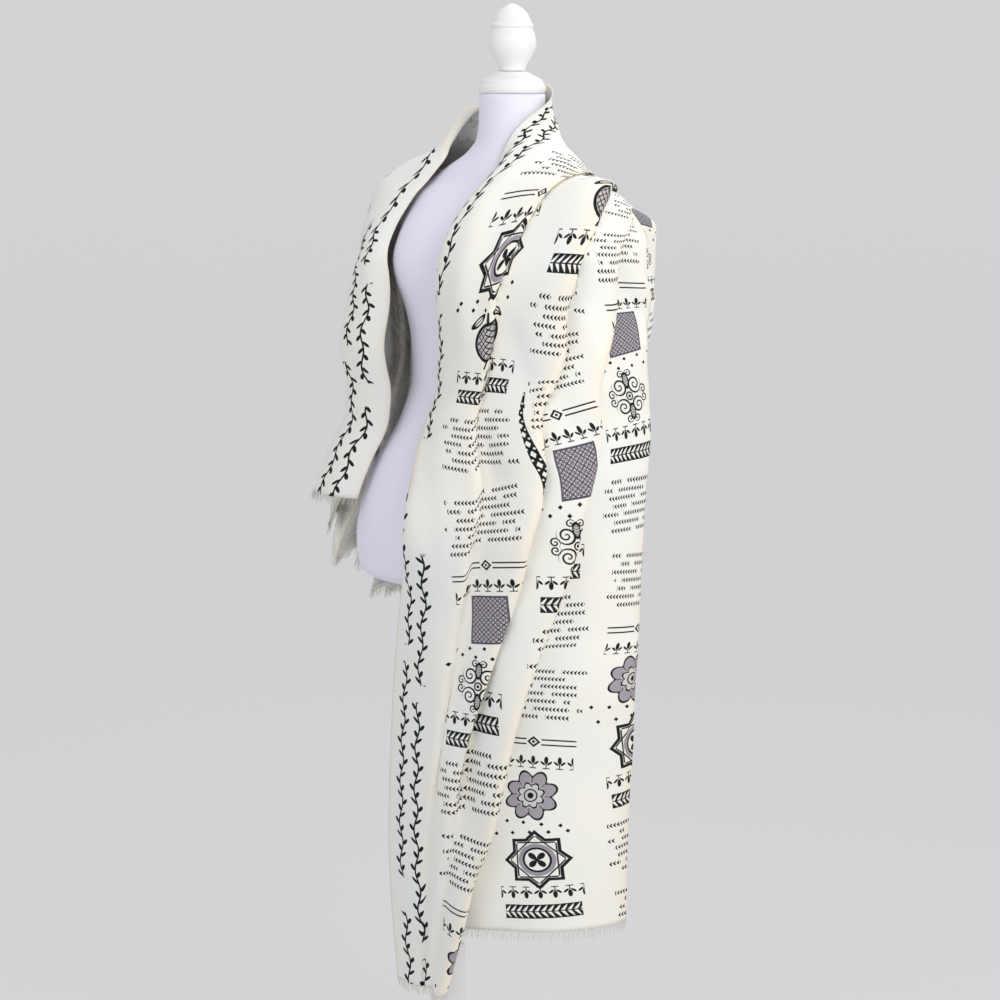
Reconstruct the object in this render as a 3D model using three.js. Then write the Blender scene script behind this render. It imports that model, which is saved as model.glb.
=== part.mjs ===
// A printed prayer shawl draped over a limbless dress form on a turned stand.
// Millimetres, +Z up. Origin at the centre of the base's underside; the form faces -Y.
import * as THREE from 'three';

// ---------------------------------------------------------------- driving dimensions
const CLOTH_WIDTH = 1000;       // across the shawl, from the front edge to the outer edge
const CLOTH_LENGTH = 2070;      // along the shawl, from the long drop's hem to the short one's
const CLOTH_WALL = 1.6;
const SEAM_GAP = 0.35;          // between pieces that meet
const FRINGE = 13;              // reach of the frayed ends
const RETURN_STEPS = 2;         // section points on a fold's hidden leg
const FORWARD_STEPS = 4;        // section points on its showing leg
const LEAN_STEP = 4;            // reach along the cloth when its lean is measured

const BASE_RADIUS = 155;
const BASE_HEIGHT = 26;
const POLE_RADIUS = 26;
const POLE_TOP = 262;
const KNOB_RADIUS = 33;
const KNOB_TOP = 326;
const ROD_RADIUS = 11;
const TORSO_BOTTOM = 791;
const NECK_TOP = 1475;
const NECK_Y = 131;             // the neck stands behind the pole's axis
const CAP_RADIUS = 48;
const CAP_TOP = 1506;
const FINIAL_TOP = 1601;
const ROUND_SIDES = 32;

const FORM_SIDES = 40;
const FORM_RINGS = 30;
const BUST = { x: 78, z: 1243, reachX: 62, reachZ: 62, out: 34 };

// Plan sections of the dress form: height, half width, front, back, squareness.
const FORM_COLUMNS = ['z', 'half', 'front', 'back', 'power'];
const FORM_ROWS = [
  [791, 150, -76, 128, 2.2],
  [806, 163, -88, 140, 2.2],
  [850, 168, -92, 146, 2.2],
  [900, 162, -84, 147, 2.2],
  [960, 144, -62, 142, 2.2],
  [1020, 121, -30, 145, 2.1],
  [1076, 112, -12, 156, 2.1],
  [1130, 119, -12, 172, 2.1],
  [1185, 134, -10, 190, 2.15],
  [1240, 153, -2, 203, 2.25],
  [1290, 168, 16, 206, 2.35],
  [1330, 166, 42, 200, 2.4],
  [1352, 140, 58, 194, 2.3],
  [1372, 108, 68, 188, 2.2],
  [1392, 72, 78, 183, 2.1],
  [1412, 54, 84, 179, 2.0],
  [1440, 48, 85, 178, 2.0],
  [1475, 47, 84, 178, 2.0],
];
const HIP_Z = 840;              // below this the cloth hangs from the hips' section

// Cross sections of the draped cloth, one row for each distance t along the shawl.
// turn, z and ease: plan angle about the form's centre, height, and distance off its skin,
// each at the front edge (0), half way across (m) and at the outer edge (1).
// gather: share of the cloth's width that a fold spans; slack: how much more of a fold
// is hidden than flat folds need, on the front and on the back half; shear: rise of the
// outer edge over the front edge, taken up on the hidden legs of the folds; round: cloth
// taken up by one turn of a fold.
const DRAPE_COLUMNS = ['t', 'turn0', 'turnM', 'turn1', 'z0', 'zM', 'z1',
  'ease0', 'easeM', 'ease1', 'gather', 'slackFront', 'slackBack', 'shear', 'round'];
const DRAPE_ROWS = [
  [0, -88, -4, 92, 232, 235, 238, 12, 45, 36, 0.72, 0.11, 0.02, 160, 40],
  [200, -92, -6, 91, 432, 432, 432, 18, 52, 45, 0.73, 0.09, 0.02, 160, 40],
  [400, -88, -9, 88, 635, 635, 635, 18, 64, 64, 0.73, 0.08, 0.02, 155, 38],
  [600, -80, -10, 84, 833, 833, 833, 10, 72, 82, 0.72, 0.07, 0.02, 158, 36],
  [700, -66, -11, 80, 932, 932, 932, 8, 84, 92, 0.70, 0.07, 0.02, 159, 35],
  [800, -78, -12, 72, 1030, 1030, 1026, 12, 104, 106, 0.66, 0.06, 0.02, 160, 22],
  [940, -84, -12, 60, 1168, 1172, 1120, 16, 94, 88, 0.56, 0.04, 0.02, 150, 13],
  [1020, -87, -8, 74, 1249, 1282, 1190, 12, 42, 56, 0.48, 0.02, 0.02, 52, 12],
  [1090, -88, -2, 87, 1307, 1345, 1190, 8, 20, 44, 0.42, 0.01, 0.01, 0, 11],
  [1170, -71, 9, 98, 1372, 1378, 1160, 9, 16, 42, 0.36, 0, 0.01, 0, 14],
  [1220, -55, 35, 105, 1406, 1390, 1140, 8, 15.4, 44, 0.34, 0, 0.01, 0, 14],
  [1270, -25, 70, 113, 1440, 1392, 1120, 9, 15.4, 46, 0.33, 0, 0.01, 0, 14],
  [1325, 45, 104, 122, 1476, 1388, 1104, 10.5, 15.4, 50, 0.32, 0, 0.01, 0, 14],
  [1370, 90, 132, 130, 1493, 1380, 1094, 11, 16, 52, 0.32, 0, 0.01, 0, 14],
  [1420, 136, 156, 139, 1476, 1368, 1086, 12, 12, 54, 0.31, 0, 0.01, 0, 13],
  [1480, 180, 174, 149, 1446, 1388, 1080, 30, 56, 54, 0.30, 0.01, 0.01, 0, 12],
  [1530, 199, 188, 153, 1410, 1360, 1078, 38, 64, 52, 0.29, 0.01, 0.01, 0, 14],
  [1580, 211, 197, 153, 1372, 1295, 1080, 16, 48, 50, 0.27, 0.01, 0.01, -20, 16],
  [1650, 217, 203, 152, 1297, 1245, 1116, 10, 50, 48, 0.25, 0.01, 0.01, -100, 16],
  [1740, 232, 207, 150, 1230, 1195, 1116, 10, 66, 64, 0.22, 0.01, 0.01, -170, 16],
  [1860, 236, 208, 148, 1115, 1108, 1086, 48, 96, 80, 0.20, 0.01, 0.01, -205, 16],
  [2000, 227, 203, 147, 975, 975, 975, 15, 67, 58, 0.19, 0.01, 0.01, -166, 16],
  [2070, 226, 203, 147, 905, 905, 905, 14, 66, 58, 0.19, 0.01, 0.01, -165, 16],
];

// The lengthwise folds, front edge first. crest: distance from the front edge to the
// fold's crest at the shoulder; drift: how much nearer to the edge it runs for each mm
// down the long drop; from, to, fade: the stretch of t where the fold is deep;
// least: its depth elsewhere; rolled: width turned under, for the rolled front edge.
const FOLD_COLUMNS = ['crest', 'drift', 'from', 'to', 'fade', 'least', 'rolled'];
const FOLD_ROWS = [
  [0, 0, 520, 1240, 330, 0, 40],
  [150, 0.10, 880, 3000, 260, 0.35, 0],
  [290, 0.21, 160, 3000, 240, 0.15, 0],
  [430, 0.335, -800, 560, 260, 0.60, 0],
  [520, 0.12, -500, 3000, 120, 0, 0],
  [650, 0.06, -500, 3000, 120, 0, 0],
  [780, 0.02, -500, 3000, 120, 0, 0],
  [895, 0, -500, 3000, 120, 0, 0],
];
const FRONT_HALF = 520;         // folds nearer to the front edge hang on the form's front
const FRONT_FADE = 200;
const SHALLOW_SLACK = 0.15;     // slack of a fold that has faded out
const PLEAT_STEPS = 40;         // fineness of a fold's own line
const BASE_STEPS = 120;         // fineness of the line that the folds stand on
const BASE_MARGIN = 12;
const DIP = 4.8;                // how far a valley may dip under that line
const SHOULDER_T = 950;         // the folds drift below this distance along the shawl
const LAST_CREST = 1040;        // crest of the fold that the outer edge cuts off

// The cloth's pieces, each its own node: name, from t, to t, and the sections along it.
// The frayed ends reach past the two hems.
const STRETCHES = [
  ['fringe_long_end', -FRINGE, 0, 2],
  ['shawl_long_drop', 0, 860, 12],
  ['shawl_neck_wrap', 860, 1520, 22],
  ['shawl_short_drop', 1520, CLOTH_LENGTH, 10],
  ['fringe_short_end', CLOTH_LENGTH, CLOTH_LENGTH + FRINGE, 2],
];

const materials = {
  cloth: new THREE.MeshStandardMaterial({ color: 0xece7d8, roughness: 0.9, metalness: 0 }),
  torso: new THREE.MeshStandardMaterial({ color: 0xe9e6f4, roughness: 0.75, metalness: 0 }),
  paint: new THREE.MeshStandardMaterial({ color: 0xf2f1f2, roughness: 0.45, metalness: 0 }),
};

// ---------------------------------------------------------------- small maths
const radians = THREE.MathUtils.degToRad;

function clamp(x, low, high) {
  return Math.min(high, Math.max(low, x));
}

function smooth(x) {
  const c = clamp(x, 0, 1);
  return c * c * (3 - 2 * c);
}

// Value of one table column at x, by a monotone cubic through the rows.
function column(rows, index, x) {
  const last = rows.length - 1;
  const at = clamp(x, rows[0][0], rows[last][0]);
  let i = 0;
  while (i < last - 1 && rows[i + 1][0] < at) i += 1;
  const chord = (k) => (rows[k + 1][index] - rows[k][index]) / (rows[k + 1][0] - rows[k][0]);
  const slope = (k) => {
    if (k === 0) return chord(0);
    if (k === last) return chord(last - 1);
    const before = chord(k - 1);
    const after = chord(k);
    if (before * after <= 0) return 0;
    const hBefore = rows[k][0] - rows[k - 1][0];
    const hAfter = rows[k + 1][0] - rows[k][0];
    const wBefore = 2 * hAfter + hBefore;
    const wAfter = hAfter + 2 * hBefore;
    return (wBefore + wAfter) / (wBefore / before + wAfter / after);
  };
  const h = rows[i + 1][0] - rows[i][0];
  const u = (at - rows[i][0]) / h;
  const a = rows[i][index];
  const b = rows[i + 1][index];
  return a * (1 + 2 * u) * (1 - u) ** 2 + b * u * u * (3 - 2 * u)
    + h * slope(i) * u * (1 - u) ** 2 - h * slope(i + 1) * u * u * (1 - u);
}

function readRow(rows, columns, x) {
  return Object.fromEntries(columns.map((name, k) => [name, column(rows, k, x)]));
}

function interpolate(xs, ys, x) {
  let i = 1;
  while (i < xs.length - 1 && xs[i] < x) i += 1;
  const u = (x - xs[i - 1]) / (xs[i] - xs[i - 1] || 1);
  return ys[i - 1] + (ys[i] - ys[i - 1]) * clamp(u, 0, 1);
}

// Parabola through three values at 0, 1/2 and 1, carried on straight outside.
function threePoint(a, m, b, x) {
  if (x < 0) return a + x * (4 * m - 3 * a - b);
  if (x > 1) return b + (x - 1) * (a - 4 * m + 3 * b);
  return a * (1 - x) * (1 - 2 * x) + 4 * m * x * (1 - x) + b * x * (2 * x - 1);
}

// ---------------------------------------------------------------- the dress form
function formRadius(angle, z) {
  const row = readRow(FORM_ROWS, FORM_COLUMNS, z);
  const depth = (row.back - row.front) / 2;
  const across = Math.abs(Math.cos(angle)) / row.half;
  const along = Math.abs(Math.sin(angle)) / depth;
  let radius = (across ** row.power + along ** row.power) ** (-1 / row.power);
  const x = radius * Math.cos(angle);
  for (const side of [-1, 1]) {
    const dx = (x - side * BUST.x) / BUST.reachX;
    const dz = (z - BUST.z) / BUST.reachZ;
    radius += BUST.out * Math.exp(-dx * dx - dz * dz) * Math.max(0, -Math.sin(angle));
  }
  return { radius, centre: (row.back + row.front) / 2 };
}

function skinPoint(angle, z, ease) {
  const { radius, centre } = formRadius(angle, z);
  const r = radius + ease;
  return new THREE.Vector3(r * Math.cos(angle), centre + r * Math.sin(angle), z);
}

// ---------------------------------------------------------------- the cloth's folds
// Points (along, out) at even distances across a fold whose share hidden[i] of a full
// turn is given for each step. They end level with the start unless free.
function tracePleat(width, hidden, turn, free) {
  const step = width / hidden.length;
  const headings = hidden.map((h) => -turn * h);
  const lean = free ? 0 : Math.atan2(
    headings.reduce((sum, a) => sum + Math.sin(a), 0),
    headings.reduce((sum, a) => sum + Math.cos(a), 0),
  );
  const points = { s: [0], along: [0], out: [0] };
  headings.forEach((heading, i) => {
    points.s.push((i + 1) * step);
    points.along.push(points.along[i] + step * Math.cos(heading - lean));
    points.out.push(points.out[i] + step * Math.sin(heading - lean));
  });
  return points;
}

function stepsAcross(width) {
  return Array.from({ length: PLEAT_STEPS }, (_, i) => (i + 0.5) * width / PLEAT_STEPS);
}

// How much of its width a pleat spans.
function spanShare(hidden, turn) {
  const x = hidden.reduce((sum, h) => sum + Math.cos(turn * h), 0);
  const y = hidden.reduce((sum, h) => sum + Math.sin(turn * h), 0);
  return Math.hypot(x, y) / hidden.length;
}

// The value between low and high where a falling measure passes the target.
function solveFalling(low, high, measure, target) {
  let a = low;
  let b = high;
  for (let i = 0; i < 24; i += 1) {
    const middle = (a + b) / 2;
    if (measure(middle) > target) a = middle;
    else b = middle;
  }
  return b;
}

// One fold of this width gathered into the span: a hidden leg that runs back from the
// crest, then the showing leg out to the next crest.
function pleat(width, span, slack, round) {
  const turnLength = Math.min(round, 0.35 * span, 0.3 * width);
  const hiddenFor = (tuck) => stepsAcross(width).map((s) => smooth(s / turnLength + 0.5)
    - smooth((s - tuck * width) / turnLength + 0.5)
    + smooth((s - width) / turnLength + 0.5));
  const share = span / width;
  const flat = solveFalling(0.02, 0.5, (k) => spanShare(hiddenFor(k), Math.PI), share);
  const tuck = Math.min(0.5, flat + slack);
  const hidden = hiddenFor(tuck);
  const turn = solveFalling(0, Math.PI, (a) => spanShare(hidden, a), share);
  return { points: tracePleat(width, hidden, turn, false), tuck };
}

// The front edge rolled under: back below, one turn, then forward.
function rolledEdge(width, under, depth, round) {
  const turnLength = Math.min(round, under);
  const hidden = stepsAcross(width)
    .map((s) => 1 - smooth((s - under) / turnLength + 0.5));
  return { points: tracePleat(width, hidden, -Math.PI * depth, true), tuck: under / width };
}

// The folds that cross one section, each with its shape and the height of its crests.
function foldShapes(t, row, baseLength) {
  const folds = FOLD_ROWS.map((values) => {
    const fold = Object.fromEntries(FOLD_COLUMNS.map((name, k) => [name, values[k]]));
    const deep = smooth((t - fold.from) / fold.fade) * smooth((fold.to - t) / fold.fade);
    fold.start = fold.crest + fold.drift * (Math.min(t, SHOULDER_T) - SHOULDER_T);
    fold.depth = Math.max(fold.least, deep);
    return fold;
  });
  folds.forEach((fold, i) => {
    fold.end = i + 1 < folds.length ? folds[i + 1].start : LAST_CREST;
    fold.width = fold.end - fold.start;
    fold.inside = Math.min(fold.end, CLOTH_WIDTH) - fold.start;
    fold.front = 1 - smooth((fold.start + fold.width / 2 - FRONT_HALF) / FRONT_FADE);
    fold.gather = 1 - (1 - row.gather) * fold.depth;
    if (fold.rolled) fold.gather = 1 - 2 * fold.rolled / fold.width * fold.depth;
  });
  const frontLength = folds.reduce((sum, f) => sum + f.front * f.gather * f.inside, 0);
  const backWidth = folds.reduce((sum, f) => sum + (1 - f.front) * f.inside, 0);
  const backGather = clamp((baseLength - frontLength) / backWidth, 0.14, 0.97);
  folds.forEach((f) => { f.gather = f.front * f.gather + (1 - f.front) * backGather; });
  const total = folds.reduce((sum, f) => sum + f.gather * f.inside, 0);
  folds.forEach((f) => {
    const span = f.width * clamp(f.gather * baseLength / total, 0.13, 0.995);
    const slack = row.slackFront * f.front + row.slackBack * (1 - f.front)
      + SHALLOW_SLACK * (1 - f.depth) ** 2;
    Object.assign(f, f.rolled ? rolledEdge(f.width, f.rolled, f.depth, row.round)
      : pleat(f.width, span, slack, row.round));
    f.valley = -Math.min(...f.points.out);
    f.hidden = f.rolled ? 0 : f.tuck * f.width * f.depth * f.front;
  });
  folds.forEach((f, i) => {
    const following = folds[i + 1] || f;
    f.nextHeight = f.rolled ? following.valley / 2 : (f.valley + following.valley) / 2;
    f.height = i > 0 ? folds[i - 1].nextHeight : 0;
  });
  return folds;
}

// Positions across one section as distances along the base line and out from it, with
// the share of the section's shear that each has risen by.
function foldedLine(t, row, baseLength) {
  const line = [];
  let position = 0;
  let lifted = 0;
  const folds = foldShapes(t, row, baseLength);
  const allHidden = folds.reduce((sum, f) => sum + f.hidden, 0);
  folds.forEach((fold) => {
    const { points, tuck, width, height, nextHeight } = fold;
    const hiddenShare = fold.hidden / allHidden;
    const share = Math.min(1, (CLOTH_WIDTH - fold.start) / width);
    const locals = [];
    for (let j = 0; j < RETURN_STEPS; j += 1) locals.push(tuck * j / RETURN_STEPS);
    for (let j = 0; j < FORWARD_STEPS; j += 1) locals.push(tuck + (1 - tuck) * j / FORWARD_STEPS);
    if (share < 1) locals.push(1);
    const rise = nextHeight - height - points.out[PLEAT_STEPS];
    for (const local of locals) {
      const s = local * share * width;
      line.push({
        along: position + interpolate(points.s, points.along, s),
        out: interpolate(points.s, points.out, s) + height + rise * smooth(s / width),
        lift: lifted + hiddenShare * smooth(local / tuck),
      });
    }
    position += points.along[PLEAT_STEPS];
    lifted += hiddenShare;
  });
  const start = Math.min(...line.map((p) => p.along));
  const end = Math.max(...line.map((p) => p.along));
  line.forEach((p) => { p.along = (p.along - start) * baseLength / (end - start); });
  return line;
}

// The line round the form that one section's folds stand on: points, their outward
// directions, and their distances from the front edge.
function baseLine(row) {
  const base = [];
  for (let i = -BASE_MARGIN; i <= BASE_STEPS + BASE_MARGIN; i += 1) {
    const u = i / BASE_STEPS;
    const angle = radians(threePoint(row.turn0, row.turnM, row.turn1, u));
    const z = threePoint(row.z0, row.zM, row.z1, u);
    const ease = Math.max(4, threePoint(row.ease0, row.easeM, row.ease1, clamp(u, 0, 1)));
    const skinZ = Math.max(HIP_Z, z);
    const point = skinPoint(angle, skinZ, ease).setZ(z);
    const fall = (formRadius(angle, skinZ - 8).radius - formRadius(angle, skinZ + 8).radius) / 16;
    const lift = skinZ > z ? 0 : clamp(fall, -0.2, 2);
    base.push({ point, out: new THREE.Vector3(Math.cos(angle), Math.sin(angle), lift) });
  }
  base.forEach((b, i) => {
    const before = base[Math.max(0, i - 1)].point;
    const after = base[Math.min(base.length - 1, i + 1)].point;
    const tangent = after.clone().sub(before).normalize();
    b.out.addScaledVector(tangent, -b.out.dot(tangent)).normalize();
    b.arc = i > 0 ? base[i - 1].arc + b.point.distanceTo(before) : 0;
  });
  const zero = base[BASE_MARGIN].arc;
  base.forEach((b) => { b.arc -= zero; });
  return base;
}

// Points of one section of the cloth, from the front edge to the outer edge.
function clothSection(t) {
  const row = readRow(DRAPE_ROWS, DRAPE_COLUMNS, t);
  const base = baseLine(row);
  const arcs = base.map((b) => b.arc);
  const index = base.map((_, i) => i);
  return foldedLine(t, row, arcs[BASE_STEPS + BASE_MARGIN]).map((p) => {
    const at = interpolate(arcs, index, p.along);
    const i = Math.min(base.length - 2, Math.floor(at));
    const point = base[i].point.clone().lerp(base[i + 1].point, at - i);
    const out = base[i].out.clone().lerp(base[i + 1].out, at - i).normalize();
    point.addScaledVector(out, Math.max(-DIP, p.out));
    point.z += row.shear * p.lift;
    return point;
  });
}

// A row of the cloth, carried on straight past the hems.
function clothRow(t) {
  const hem = Math.min(CLOTH_LENGTH, Math.max(0, t));
  const beyond = Math.abs(t - hem);
  const points = clothSection(hem);
  if (beyond === 0) return points;
  const inner = clothSection(t < hem ? hem + LEAN_STEP : hem - LEAN_STEP);
  return points.map((p, j) => p.clone().sub(inner[j]).setLength(beyond).add(p));
}

// ---------------------------------------------------------------- solids
function solid(name, positions, triangles, material) {
  const geometry = new THREE.BufferGeometry();
  geometry.setAttribute('position', new THREE.Float32BufferAttribute(positions, 3));
  geometry.setIndex(triangles);
  const mesh = new THREE.Mesh(geometry, material);
  mesh.name = name;
  return mesh;
}

// A wall of even thickness over one stretch of the cloth, closed along its four edges
// and half a gap short of both ends.
function clothWall(name, from, to, rows) {
  const columns = clothRow(from).length;
  const positions = [];
  for (const side of [0.5, -0.5]) {
    for (let i = 0; i < rows; i += 1) {
      const t = from + (to - from) * i / (rows - 1);
      const points = clothRow(t);
      const before = clothRow(t - LEAN_STEP);
      const after = clothRow(t + LEAN_STEP);
      let inset = 0;
      if (i === 0) inset = SEAM_GAP / 2;
      if (i === rows - 1) inset = -SEAM_GAP / 2;
      for (let j = 0; j < columns; j += 1) {
        const across = points[Math.min(columns - 1, j + 1)].clone()
          .sub(points[Math.max(0, j - 1)]).normalize();
        const normal = across.clone().cross(after[j].sub(before[j])).normalize();
        const p = points[j].clone().addScaledVector(normal, side * CLOTH_WALL)
          .addScaledVector(normal.cross(across), inset);
        positions.push(p.x, p.y, p.z);
      }
    }
  }
  const outer = (i, j) => i * columns + j;
  const inner = (i, j) => rows * columns + i * columns + j;
  const triangles = [];
  const quad = (a, b, c, d) => triangles.push(a, b, c, a, c, d);
  for (let i = 0; i < rows - 1; i += 1) {
    for (let j = 0; j < columns - 1; j += 1) {
      quad(outer(i, j), outer(i, j + 1), outer(i + 1, j + 1), outer(i + 1, j));
      quad(inner(i, j), inner(i + 1, j), inner(i + 1, j + 1), inner(i, j + 1));
    }
    const last = columns - 1;
    quad(outer(i, 0), outer(i + 1, 0), inner(i + 1, 0), inner(i, 0));
    quad(outer(i, last), inner(i, last), inner(i + 1, last), outer(i + 1, last));
  }
  for (let j = 0; j < columns - 1; j += 1) {
    const last = rows - 1;
    quad(outer(0, j), inner(0, j), inner(0, j + 1), outer(0, j + 1));
    quad(outer(last, j), outer(last, j + 1), inner(last, j + 1), inner(last, j));
  }
  return solid(name, positions, triangles, materials.cloth);
}

// A closed body on a stack of rings with the same number of points.
function stack(name, rings, material) {
  const n = rings[0].length;
  const positions = rings.flat().flatMap((p) => [p.x, p.y, p.z]);
  const triangles = [];
  for (let i = 0; i < rings.length - 1; i += 1) {
    for (let j = 0; j < n; j += 1) {
      const k = (j + 1) % n;
      triangles.push(i * n + j, i * n + k, (i + 1) * n + k);
      triangles.push(i * n + j, (i + 1) * n + k, (i + 1) * n + j);
    }
  }
  const top = (rings.length - 1) * n;
  for (let j = 1; j < n - 1; j += 1) {
    triangles.push(0, j + 1, j);
    triangles.push(top, top + j, top + j + 1);
  }
  return solid(name, positions, triangles, material);
}

function turned(name, profile, y, material) {
  const points = profile.map(([r, z]) => new THREE.Vector2(r, z));
  const geometry = new THREE.LatheGeometry(points, ROUND_SIDES);
  geometry.rotateX(Math.PI / 2);
  const mesh = new THREE.Mesh(geometry, material);
  mesh.position.y = y;
  mesh.name = name;
  return mesh;
}

// Points of a rounded outline between two profile points, bulging by this much.
function bulge([r0, z0], [r1, z1], out, steps = 6) {
  const points = [];
  for (let i = 0; i <= steps; i += 1) {
    const u = i / steps;
    points.push([r0 + (r1 - r0) * u + out * Math.sin(Math.PI * u), z0 + (z1 - z0) * u]);
  }
  return points;
}

// ---------------------------------------------------------------- sub-parts
function torso() {
  const rings = [];
  for (let i = 0; i <= FORM_RINGS; i += 1) {
    const z = TORSO_BOTTOM + (NECK_TOP - SEAM_GAP - TORSO_BOTTOM) * i / FORM_RINGS;
    const ring = [];
    for (let j = 0; j < FORM_SIDES; j += 1) {
      ring.push(skinPoint(2 * Math.PI * j / FORM_SIDES, z, 0));
    }
    rings.push(ring);
  }
  return stack('torso', rings, materials.torso);
}

function stand() {
  const foot = turned('base', [[0, 0], [BASE_RADIUS, 0], [BASE_RADIUS, 12],
    ...bulge([BASE_RADIUS - 4, 16], [POLE_RADIUS + 26, BASE_HEIGHT - 4], 3),
    [POLE_RADIUS + 14, BASE_HEIGHT], [0, BASE_HEIGHT]], 0, materials.paint);
  const pole = turned('pole', [[0, BASE_HEIGHT + SEAM_GAP], [POLE_RADIUS + 6, BASE_HEIGHT + SEAM_GAP],
    [POLE_RADIUS, BASE_HEIGHT + 14], [POLE_RADIUS, POLE_TOP - 8],
    [POLE_RADIUS - 2, POLE_TOP], [0, POLE_TOP]], 0, materials.paint);
  const knob = turned('knob', [[0, POLE_TOP + SEAM_GAP], [POLE_RADIUS - 2, POLE_TOP + SEAM_GAP],
    ...bulge([POLE_RADIUS, POLE_TOP + 4], [POLE_RADIUS - 4, KNOB_TOP - 14],
      KNOB_RADIUS - POLE_RADIUS + 2),
    [ROD_RADIUS + 5, KNOB_TOP - 6], [ROD_RADIUS + 4, KNOB_TOP], [0, KNOB_TOP]], 0, materials.paint);
  const rod = turned('rod', [[0, KNOB_TOP + SEAM_GAP], [ROD_RADIUS, KNOB_TOP + SEAM_GAP],
    [ROD_RADIUS, TORSO_BOTTOM - 8], [ROD_RADIUS + 21, TORSO_BOTTOM - 6],
    [ROD_RADIUS + 21, TORSO_BOTTOM - SEAM_GAP], [0, TORSO_BOTTOM - SEAM_GAP]], 0, materials.paint);
  return [foot, pole, knob, rod];
}

function neckTop() {
  const cap = turned('neck_cap', [[0, NECK_TOP], [CAP_RADIUS - 3, NECK_TOP],
    [CAP_RADIUS, NECK_TOP + 3], [CAP_RADIUS, NECK_TOP + 11], [CAP_RADIUS - 3, NECK_TOP + 13],
    [CAP_RADIUS - 3, NECK_TOP + 17], [CAP_RADIUS - 9, NECK_TOP + 22],
    [29, NECK_TOP + 26], [22, CAP_TOP], [0, CAP_TOP]], NECK_Y, materials.paint);
  const finial = turned('finial', [[0, CAP_TOP + SEAM_GAP], [19, CAP_TOP + SEAM_GAP],
    [19, CAP_TOP + 4], [25, CAP_TOP + 16], [32, CAP_TOP + 28], [34.5, CAP_TOP + 40],
    [33, CAP_TOP + 51], [29, CAP_TOP + 60], [30.5, CAP_TOP + 62], [30.5, CAP_TOP + 66],
    [28, CAP_TOP + 68], [25, CAP_TOP + 77], [19, CAP_TOP + 85], [12, CAP_TOP + 89],
    [12, CAP_TOP + 91], [6, FINIAL_TOP - 0.5], [0, FINIAL_TOP]], NECK_Y, materials.paint);
  return [cap, finial];
}

const shawlOnDressForm = new THREE.Group();
shawlOnDressForm.add(...stand(), torso(), ...neckTop());
STRETCHES.forEach((stretch) => shawlOnDressForm.add(clothWall(...stretch)));

export default shawlOnDressForm;
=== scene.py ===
"""A printed prayer shawl draped over a limbless dress form on a turned stand.

Metres, +Z up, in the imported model's frame. The cloth's tables are in millimetres, like
those of the part's source, and are turned into metres where a mesh is made. The front edge
over the chest, the first two folds and the rounding of the folds differ from the solids'.
"""
import math
from types import SimpleNamespace

import bpy
import numpy as np
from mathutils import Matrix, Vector


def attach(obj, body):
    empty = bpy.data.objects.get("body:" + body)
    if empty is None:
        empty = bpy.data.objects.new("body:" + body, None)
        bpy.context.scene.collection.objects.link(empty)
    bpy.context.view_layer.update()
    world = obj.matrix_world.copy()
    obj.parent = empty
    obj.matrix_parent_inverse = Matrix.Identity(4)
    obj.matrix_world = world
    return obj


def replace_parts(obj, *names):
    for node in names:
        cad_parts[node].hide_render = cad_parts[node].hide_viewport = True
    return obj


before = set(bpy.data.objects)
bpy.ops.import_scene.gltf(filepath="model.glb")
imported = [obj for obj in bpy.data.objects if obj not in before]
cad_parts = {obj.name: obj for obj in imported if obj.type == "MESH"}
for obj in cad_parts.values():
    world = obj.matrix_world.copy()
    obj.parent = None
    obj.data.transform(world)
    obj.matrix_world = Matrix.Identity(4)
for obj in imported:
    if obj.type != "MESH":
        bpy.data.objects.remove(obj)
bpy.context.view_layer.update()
MM = 0.001
MM_PER_METRE = 1000

# ---------------------------------------- the cloth's sizes, mm
CLOTH_WIDTH = 1000
CLOTH_LENGTH = 2070
CLOTH_THICKNESS = 0.9
FRINGE = 13
ROWS = 296                      # mesh rows along the cloth
RETURN_COLUMNS = 8              # mesh columns on a fold's hidden leg
FORWARD_COLUMNS = 12            # and on its showing leg
YARN_PITCH = 1.5                # between the loose yarns of a frayed end
YARN_RADIUS = 0.42
YARN_SIDES = 3
YARN_RINGS = 5
YARN_TAPER = 0.55               # share of its radius that a yarn loses by its end
FIRST_YARN = 0.6
YARN_JITTER = 0.4
YARN_SHORTEST = 0.62            # of the fringe's reach
YARN_LEAN = 0.22                # spread of the leans along the hem
YARN_STAND = 0.10               # and out of the cloth
YARN_CURL = 0.18
YARN_SAG = 0.12
FRINGE_SEEDS = (11, 12)

# ---------------------------------------- the dress form's sizes, mm
BUST = SimpleNamespace(x=78, z=1243, reach_x=62, reach_z=62, out=34)
# The form's sections: height, half width, front and back, and the power of the curve.
FORM_COLUMNS = ("z", "half", "front", "back", "power")
FORM_ROWS = np.array([
    [791, 150, -76, 128, 2.2],
    [806, 163, -88, 140, 2.2],
    [850, 168, -92, 146, 2.2],
    [900, 162, -84, 147, 2.2],
    [960, 144, -62, 142, 2.2],
    [1020, 121, -30, 145, 2.1],
    [1076, 112, -12, 156, 2.1],
    [1130, 119, -12, 172, 2.1],
    [1185, 134, -10, 190, 2.15],
    [1240, 153, -2, 203, 2.25],
    [1290, 168, 16, 206, 2.35],
    [1330, 166, 42, 200, 2.4],
    [1352, 140, 58, 194, 2.3],
    [1372, 108, 68, 188, 2.2],
    [1392, 72, 78, 183, 2.1],
    [1412, 54, 84, 179, 2.0],
    [1440, 48, 85, 178, 2.0],
    [1475, 47, 84, 178, 2.0],
])
HIP_Z = 840                     # below this the cloth hangs from the hips' section
NECK_TOP = 1475
NECK_Y = 131                    # of the neck's axis

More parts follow.
